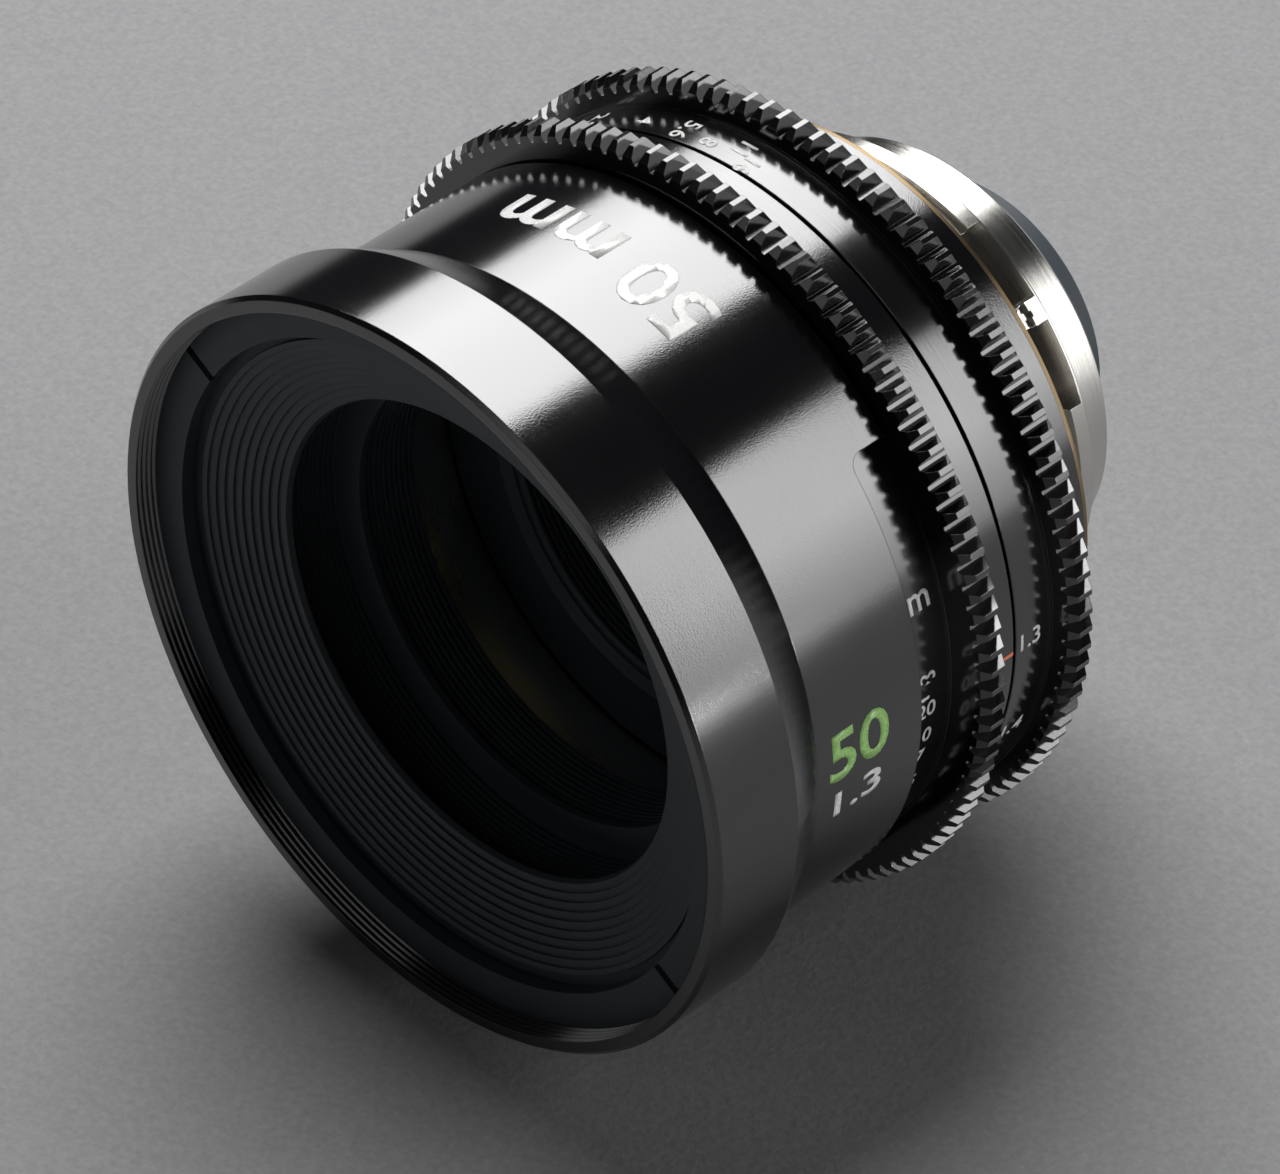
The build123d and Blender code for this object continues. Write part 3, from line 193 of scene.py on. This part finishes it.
# Small screws of the barrel: steel, black oxide in hot oil. Dark blue-black with a dull metal shine.
blackOxide = turnedMaterial("black oxide steel", {
    "colour": "#1c1d20", "paler": "#26272b", "edge": "#77797d", "edgeMm": 0.08, "edgeShare": 0.5,
    "roughness": (0.3, 0.42), "metallic": 1.0,
    "grainMm": 0.2, "grainStrength": 0.1, "grainDepthMm": 0.01,
    "ringMm": 0.2, "ringStrength": 0.1, "ringDepthMm": 0.01, "cloudMm": 2})

# Rollers, pins and mount screws: hardened steel, ground bright
groundSteel = turnedMaterial("ground steel", {
    "colour": "#aeb0b2", "paler": "#c0c2c4", "edge": "#e8e9ea", "edgeMm": 0.08, "edgeShare": 0.5,
    "roughness": (0.18, 0.28), "metallic": 1.0,
    "grainMm": 0.2, "grainStrength": 0.08, "grainDepthMm": 0.01,
    "ringMm": 0.2, "ringStrength": 0.1, "ringDepthMm": 0.01, "cloudMm": 2})

# Iris blades: thin spring steel with a baked dry film. Even dark grey, nearly matt, rubbed along the arcs.
dryFilm = turnedMaterial("dry film on spring steel", {
    "colour": "#141517", "paler": "#1d1e21", "edge": "#4c4e52", "edgeMm": 0.08, "edgeShare": 0.6,
    "roughness": (0.38, 0.5), "ior": 1.6,
    "grainMm": 0.25, "grainStrength": 0.12, "grainDepthMm": 0.01,
    "ringMm": 0.5, "ringStrength": 0.15, "ringDepthMm": 0.01, "cloudMm": 5})
print("metal finishes made")


# Lens elements: optical glass, ground and polished, vacuum coated against reflections. Clear, with a
# weak coloured reflection of the film, and a trace of dust that dulls it here and there.
def coatedGlass(name, look):
    material, tree, shader = newMaterial(name)
    place = addNode(tree, "TexCoord").outputs["Object"]
    dust = addNode(tree, "TexNoise", {"Scale": grainScale(look["dustMm"]), "Detail": 4.0}, {0: place})
    clean, dusty = look["dustRoughness"]
    haze = addNode(tree, "MapRange", {"From Min": 0.55, "From Max": 0.8, "To Min": clean, "To Max": dusty},
                   {0: dust.outputs[0]})
    tree.links.new(haze.outputs[0], shader.inputs["Roughness"])
    tint = addNode(tree, "Mix", {"data_type": "RGBA", "A": linearColour(look["colour"]),
                                 "B": linearColour(look["paler"])}, {0: dust.outputs[0]})
    tree.links.new(tint.outputs["Result"], shader.inputs["Base Color"])
    shader.inputs["IOR"].default_value = look["ior"]
    shader.inputs["Transmission Weight"].default_value = 1.0
    shader.inputs["Thin Film Thickness"].default_value = look["filmNm"]
    shader.inputs["Thin Film IOR"].default_value = look["filmIor"]
    return material


glassLooks = {
    "front": {"colour": "#eef3ee", "paler": "#f6f8f6", "ior": 1.62, "filmNm": 250, "filmIor": 1.38,
              "dustMm": 3, "dustRoughness": (0.004, 0.03)},
    "inner": {"colour": "#f2f0f4", "paler": "#f8f7f9", "ior": 1.72, "filmNm": 120, "filmIor": 1.38,
              "dustMm": 4, "dustRoughness": (0.004, 0.03)},
}
frontGlass = coatedGlass("coated front glass", glassLooks["front"])
innerGlass = coatedGlass("coated inner glass", glassLooks["inner"])
print("glass made")

finishes = {
    satinAnodised: ["front_ring", "name_sleeve", "index_band", "rear_body"],
    gearAnodised: ["focus_ring", "iris_ring"],
    mattAnodised: ["front_retaining_ring", "ribbed_baffle", "light_trap_tube", "rear_baffle", "front_cell",
                   "front_cell_retainer", "front_spacer", "middle_spacer", "iris_housing", "rear_cell",
                   "rear_spacer_1", "rear_spacer_2", "rear_retainer"],
    turnedAluminium: ["main_barrel", "block_carrier", "focus_thrust_ring"],
    turnedSteel: ["mount_flange"],
    turnedBrass: ["mount_shims", "focus_cam_ring", "focus_washer", "iris_washer"],
    blackenedBrass: ["iris_cam_plate"],
    blackOxide: ["front_ring_screws", "sleeve_screws", "index_screws", "cam_screws", "body_screws",
                 "carrier_screws"],
    groundSteel: ["mount_screws", "focus_rollers", "iris_drive_pin"],
    dryFilm: [f"iris_blade_{i}" for i in range(1, 9)],
    frontGlass: ["lens_element_1"],
    innerGlass: [f"lens_element_{i}" for i in range(2, 8)],
}
for material, names in finishes.items():
    for name in names:
        piece = bpy.data.objects[name]
        piece.data.materials.clear()
        piece.data.materials.append(material)
        deselectAll()
        bpy.context.view_layer.objects.active = piece
        piece.select_set(True)
        bpy.ops.object.shade_smooth_by_angle(angle=radians(28))
deselectAll()
print("finishes set on the frame's nodes")


paintLook = {"grainMm": 0.3, "roughness": (0.2, 0.34), "bumpStrength": 0.1, "bumpDepthMm": 0.02}


# Filled paint: enamel rubbed into engraved figures. Bright, slightly grainy, with a soft gloss.
def paintFill(name, colour, paler):
    material, tree, shader = newMaterial(name)
    place = addNode(tree, "TexCoord").outputs["Object"]
    grain = addNode(tree, "TexNoise", {"Scale": grainScale(paintLook["grainMm"]), "Detail": 3.0}, {0: place})
    tone = addNode(tree, "Mix", {"data_type": "RGBA", "A": linearColour(colour), "B": linearColour(paler)},
                   {0: grain.outputs[0]})
    tree.links.new(tone.outputs["Result"], shader.inputs["Base Color"])
    low, high = paintLook["roughness"]
    gloss = addNode(tree, "MapRange", {"To Min": low, "To Max": high}, {0: grain.outputs[0]})
    tree.links.new(gloss.outputs[0], shader.inputs["Roughness"])
    bump = addNode(tree, "Bump", {"Strength": paintLook["bumpStrength"],
                                  "Distance": paintLook["bumpDepthMm"] * mm}, {"Height": grain.outputs[0]})
    tree.links.new(bump.outputs[0], shader.inputs["Normal"])
    return material


paints = {
    "white": paintFill("white enamel fill", "#dcdcd9", "#f0f0ee"),
    "green": paintFill("green enamel fill", "#93c26e", "#a8d684"),
    "orange": paintFill("orange enamel fill", "#dc6c42", "#ea8257"),
}

markSizes = {
    "proud": 0.02,        # height of the paint above the metal, mm
    "slice": 0.8,         # a mark is sliced this fine so that it follows the curve, mm
    "merge": 0.0005,      # points of a mark closer than this become one, mm
    "lineBevel": 0.1,     # cut off a line's edges, as a share of its width
    "frontFaceY": -78.4,  # stations on the lens count from here
}


# cuts the active mesh into strips across one axis, so that it can be bent round the lens
def sliceAcross(axis, low, high):
    bpy.ops.object.mode_set(mode="EDIT")
    steps = int((high - low) / markSizes["slice"])
    direction = (1, 0, 0) if axis == 0 else (0, 1, 0)
    for i in range(1, steps + 1):
        at = low + (high - low) * i / (steps + 1)
        bpy.ops.mesh.select_all(action="SELECT")
        bpy.ops.mesh.bisect(plane_co=[at * d for d in direction], plane_no=direction)
    bpy.ops.object.mode_set(mode="OBJECT")


# lays a flat mark, drawn in millimetres round its own middle, on the lens at an angle from the top and
# a station from the front; turn is 90 for figures read from the left side, -90 the right, 180 from above
def layOnBarrel(piece, radius, angle, station, turn):
    turned = Matrix.Rotation(radians(turn), 3, "Z")
    for point in piece.data.vertices:
        flat = turned @ point.co
        around = radians(angle) + flat.x / radius
        out = radius + flat.z
        along = station + markSizes["frontFaceY"] + flat.y
        point.co = Vector((out * sin(around), along, out * cos(around))) * mm


def finishMark(piece, name, paint, body):
    piece.name = name
    piece.data.name = name
    piece.data.materials.clear()
    piece.data.materials.append(paints[paint])
    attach(piece, body)
    deselectAll()


# figures of a given height; width may be given too, in mm
def addFigures(name, words, height, spot, paint, body, width=None, weight=0.012):
    deselectAll()
    bpy.ops.object.text_add()
    piece = bpy.context.object
    piece.data.body = words
    piece.data.size = 1.0
    piece.data.offset = weight
    piece.data.resolution_u = 4
    bpy.ops.object.convert(target="MESH")
    piece = bpy.context.object
    xs = [point.co.x for point in piece.data.vertices]
    ys = [point.co.y for point in piece.data.vertices]
    tall = height / (max(ys) - min(ys))
    wide = width / (max(xs) - min(xs)) if width else tall
    middle = Vector(((max(xs) + min(xs)) / 2, (max(ys) + min(ys)) / 2, 0))
    for point in piece.data.vertices:
        moved = point.co - middle
        point.co = (moved.x * wide, moved.y * tall, 0)
    halfWide, halfTall = (max(xs) - min(xs)) * wide / 2, height / 2
    sideways = spot["turn"] in (90, -90)
    if sideways:
        sliceAcross(1, -halfTall, halfTall)
    else:
        sliceAcross(0, -halfWide, halfWide)
    thicken(piece)
    layOnBarrel(piece, **spot)
    finishMark(piece, name, paint, body)


# gives a flat mark its thickness
def thicken(piece):
    bpy.ops.object.mode_set(mode="EDIT")
    bpy.ops.mesh.select_all(action="SELECT")
    bpy.ops.mesh.remove_doubles(threshold=markSizes["merge"])
    bpy.ops.mesh.normals_make_consistent(inside=False)
    bpy.ops.mesh.extrude_region_move(TRANSFORM_OT_translate={"value": (0, 0, markSizes["proud"])})
    bpy.ops.mesh.select_all(action="SELECT")
    bpy.ops.mesh.normals_make_consistent(inside=False)
    bpy.ops.object.mode_set(mode="OBJECT")


# a straight painted line, its length along the lens and its width round it, turned by slant
def addLine(name, line, angle, paint, body, slant=0):
    deselectAll()
    bpy.ops.mesh.primitive_plane_add(size=1)
    piece = bpy.context.object
    for point in piece.data.vertices:
        point.co = (point.co.x * line["width"], point.co.y * line["length"], 0)
    thicken(piece)
    bpy.ops.object.mode_set(mode="EDIT")
    bpy.ops.mesh.select_all(action="SELECT")
    bpy.ops.mesh.bevel(offset=markSizes["lineBevel"] * line["width"], segments=1, affect="EDGES")
    bpy.ops.object.mode_set(mode="OBJECT")
    layOnBarrel(piece, line["radius"], angle, line["station"], slant)
    finishMark(piece, name, paint, body)


# the two sides of the lens: angle of the index, which is also the turn of figures read from there, and the
# sign of an angle that goes down
sides = {"left": (90, 1), "right": (-90, -1)}

# big plain figures on the sleeve; drop is how many degrees they stand below the index
sleeveMarks = {
    "radius": 44.4, "weight": 0.02,
    "station": {"left": 25.0, "right": 26.4},  # a screw stands before the right-hand figures
    "figures": {
        "focal": {"words": "50", "height": 6.6, "width": 9.4, "drop": -3.8, "paint": "green"},
        "aperture": {"words": "1.3", "height": 3.6, "width": 7.4, "drop": 5.1, "paint": "white"},
    },
    "top": {"words": "50 mm", "height": 8.0, "width": 31, "station": 29.5},
}
for side, (index, down) in sides.items():
    for name, mark in sleeveMarks["figures"].items():
        addFigures(f"{name}_figures_{side}", mark["words"], mark["height"],
                   dict(radius=sleeveMarks["radius"], angle=index + mark["drop"] * down,
                        station=sleeveMarks["station"][side], turn=index),
                   mark["paint"], "housing", width=mark["width"], weight=sleeveMarks["weight"])
top = sleeveMarks["top"]
addFigures("top_figures", top["words"], top["height"],
           dict(radius=sleeveMarks["radius"], angle=0, station=top["station"], turn=180),
           "white", "housing", width=top["width"], weight=sleeveMarks["weight"])

# a painted highlight: a white strip for the lit upper face of the pointer that is cut into the sleeve at each
# window
pointerHighlight = {"length": 2.7, "width": 0.55, "radius": 44.1, "station": 33.3, "rise": 0.75, "slant": 25}
for side, (index, down) in sides.items():
    # the painted highlight takes the white enamel of the figures
    addLine(f"pointer_highlight_{side}", pointerHighlight, index - pointerHighlight["rise"] * down, "white", "housing",
            pointerHighlight["slant"] * down)

# focus scale: its figures stand on a spiral law, angle = farAngle + spread / distance
focusScale = {
    "radius": 42.7, "height": 2.2, "station": 37.6, "farAngle": 86.1, "spread": 107.0,
    "distances": [20, 10, 7, 5, 4, 3, 2.5, 2, 1.7, 1.5, 1.3, 1.2, 1.1, 1, 0.9, 0.8],
    "unit": {"words": "m", "height": 2.3, "width": 3.2, "angle": 72, "station": 38.0},
    "far": {"words": "∞", "height": 1.5, "width": 2.5, "angle": 85.4, "station": 37.7, "weight": 0.02},
    "tick": {"length": 1.3, "width": 0.4, "radius": 42.7, "angle": 89.0, "station": 37.3},
}
radius, unit, far, tick = (focusScale[key] for key in ("radius", "unit", "far", "tick"))
halves = {"a": (0, 90), "b": (180, -90)}  # where each half of a scale starts, and the turn of its figures
for half, (start, turn) in halves.items():
    addFigures(f"focus_unit_{half}", unit["words"], unit["height"],
               dict(radius=radius, angle=unit["angle"] + start, station=unit["station"], turn=turn),
               "white", "focus_control", width=unit["width"])
    addFigures(f"focus_far_{half}", far["words"], far["height"],
               dict(radius=radius, angle=far["angle"] + start, station=far["station"], turn=turn),
               "white", "focus_control", width=far["width"], weight=far["weight"])
    addLine(f"focus_tick_{half}", tick, tick["angle"] + start, "white", "focus_control")
    for distance in focusScale["distances"]:
        angle = focusScale["farAngle"] + focusScale["spread"] / distance + start
        label = str(distance).replace(".", "_")
        addFigures(f"focus_{label}_{half}", str(distance), focusScale["height"],
                   dict(radius=radius, angle=angle, station=focusScale["station"], turn=turn),
                   "white", "focus_control")

# aperture scale on both sides, in stops
irisScale = {
    "radius": 44.05, "height": 2.4, "station": 53.05,
    "stops": {"1.3": 88.8, "1.4": 108, "2": 130, "2.8": 145.9, "4": 158.3, "5.6": 166.8, "8": 172.3,
              "11": 177.6, "16": 180.7},
    "stagger": {"8": -0.6, "11": 1.0, "16": -1.3},  # the closest stops stand in two rows
}
for half, (start, turn) in halves.items():
    for stop, angle in irisScale["stops"].items():
        label = stop.replace(".", "_")
        addFigures(f"iris_{label}_{half}", stop, irisScale["height"],
                   dict(radius=irisScale["radius"], angle=angle + start,
                        station=irisScale["station"] + irisScale["stagger"].get(stop, 0), turn=turn),
                   "white", "iris_control")

indexLine = {"length": 1.6, "width": 0.5, "radius": 44.05, "station": 49.4, "rise": 0.5}
for side, (index, down) in sides.items():
    addLine(f"index_line_{side}", indexLine, index - indexLine["rise"] * down, "orange", "housing")
print("marks made")

# floor: a sheet of grey paper, faintly speckled
floorLook = {"colour": "#858587", "paler": "#a4a4a5", "speckMm": 0.8, "roughness": 0.8,
             "bumpStrength": 0.3, "bumpDepthMm": 0.2, "size": 3.0}
deselectAll()
bpy.ops.mesh.primitive_plane_add(size=floorLook["size"], location=(0, 0, 0))
floor = bpy.context.object
floor.name = "floor"
for point in floor.data.vertices:
    point.co.z = cadBox[0][2]
material, tree, shader = newMaterial("grey paper")
place = addNode(tree, "TexCoord").outputs["Object"]
specks = addNode(tree, "TexNoise", {"Scale": grainScale(floorLook["speckMm"]), "Detail": 4.0}, {0: place})
tone = addNode(tree, "Mix", {"data_type": "RGBA", "A": linearColour(floorLook["colour"]),
                             "B": linearColour(floorLook["paler"])}, {0: specks.outputs[0]})
tree.links.new(tone.outputs["Result"], shader.inputs["Base Color"])
shader.inputs["Roughness"].default_value = floorLook["roughness"]
bump = addNode(tree, "Bump", {"Strength": floorLook["bumpStrength"],
                              "Distance": floorLook["bumpDepthMm"] * mm}, {"Height": specks.outputs[0]})
tree.links.new(bump.outputs[0], shader.inputs["Normal"])
floor.data.materials.append(material)

# soft boxes: angle round the lens from its top, lean towards the mount, distance and size in metres,
# radiance at the two ends of the width, and the part of the width where it changes between them
lampTarget = Vector((0, -0.035, 0))
softBoxes = {
    "over the lens": {"angle": -30.5, "lean": 19.5, "distance": 1.0, "width": 0.91, "height": 0.735,
                      "radiance": (5.0, 6.9), "fade": (0.05, 0.35)},
    "beside the mount": {"angle": 71.5, "lean": 34, "distance": 1.0, "width": 1.14, "height": 0.22,
                         "radiance": (4.1, 0.5), "fade": (0.4, 0.9)},
    "low at the left": {"angle": 87.5, "lean": 14, "distance": 1.0, "width": 0.09, "height": 0.45,
                        "radiance": (24, 24), "fade": (0, 1)},
    "before the front": {"angle": -9, "lean": -62, "distance": 1.0, "width": 0.8, "height": 0.5,
                         "radiance": (0.34, 0.34), "fade": (0, 1)},
}
for name, box in softBoxes.items():
    around, lean = radians(box["angle"]), radians(box["lean"])
    away = Vector((cos(lean) * sin(around), sin(lean), cos(lean) * cos(around)))
    along = Vector((cos(around), 0, -sin(around)))
    axes = Matrix((along, away.cross(along), away)).transposed()
    deselectAll()
    bpy.ops.object.light_add(type="AREA")
    lamp = bpy.context.object
    lamp.name = "soft box " + name
    lamp.matrix_world = Matrix.Translation(lampTarget + away * box["distance"]) @ axes.to_4x4()
    lamp.data.shape = "RECTANGLE"
    lamp.data.size = box["width"]
    lamp.data.size_y = box["height"]
    lamp.data.energy = pi * box["width"] * box["height"]
    lamp.data.use_nodes = True
    tree = lamp.data.node_tree
    glow = tree.nodes["Emission"]
    (upper, lower), (begin, end) = box["radiance"], box["fade"]
    spot = addNode(tree, "SeparateXYZ", links={0: addNode(tree, "NewGeometry").outputs["Parametric"]})
    fade = addNode(tree, "MapRange", {"From Min": begin, "From Max": end, "To Min": upper, "To Max": lower},
                   {0: spot.outputs["X"]})
    tree.links.new(fade.outputs[0], glow.inputs["Strength"])

room = {"colour": "#c8ccd2", "strength": 0.03}
world = bpy.data.worlds.new("dim room")
bpy.context.scene.world = world
world.use_nodes = True
background = world.node_tree.nodes["Background"]
background.inputs["Color"].default_value = linearColour(room["colour"])
background.inputs["Strength"].default_value = room["strength"]

# camera, fitted to the circles on the lens in the photograph
cameraFit = {
    "place": (433.6, -479.7, 514.6), "lens": 198.9, "sensor": 36, "clipStart": 0.01,
    "right": (0.70986, 0.70434, 0), "up": (-0.45561, 0.45918, 0.76261), "back": (0.53714, -0.54135, 0.64686),
}
bpy.ops.object.camera_add()
camera = bpy.context.object
turn = Matrix((cameraFit["right"], cameraFit["up"], cameraFit["back"])).transposed()
camera.matrix_world = Matrix.Translation(Vector(cameraFit["place"]) * mm) @ turn.to_4x4()
camera.data.sensor_width = cameraFit["sensor"]
camera.data.lens = cameraFit["lens"]
camera.data.clip_start = cameraFit["clipStart"]
bpy.context.scene.camera = camera
bpy.context.scene.view_settings.view_transform = "Standard"
print("floor, lamps and camera set")
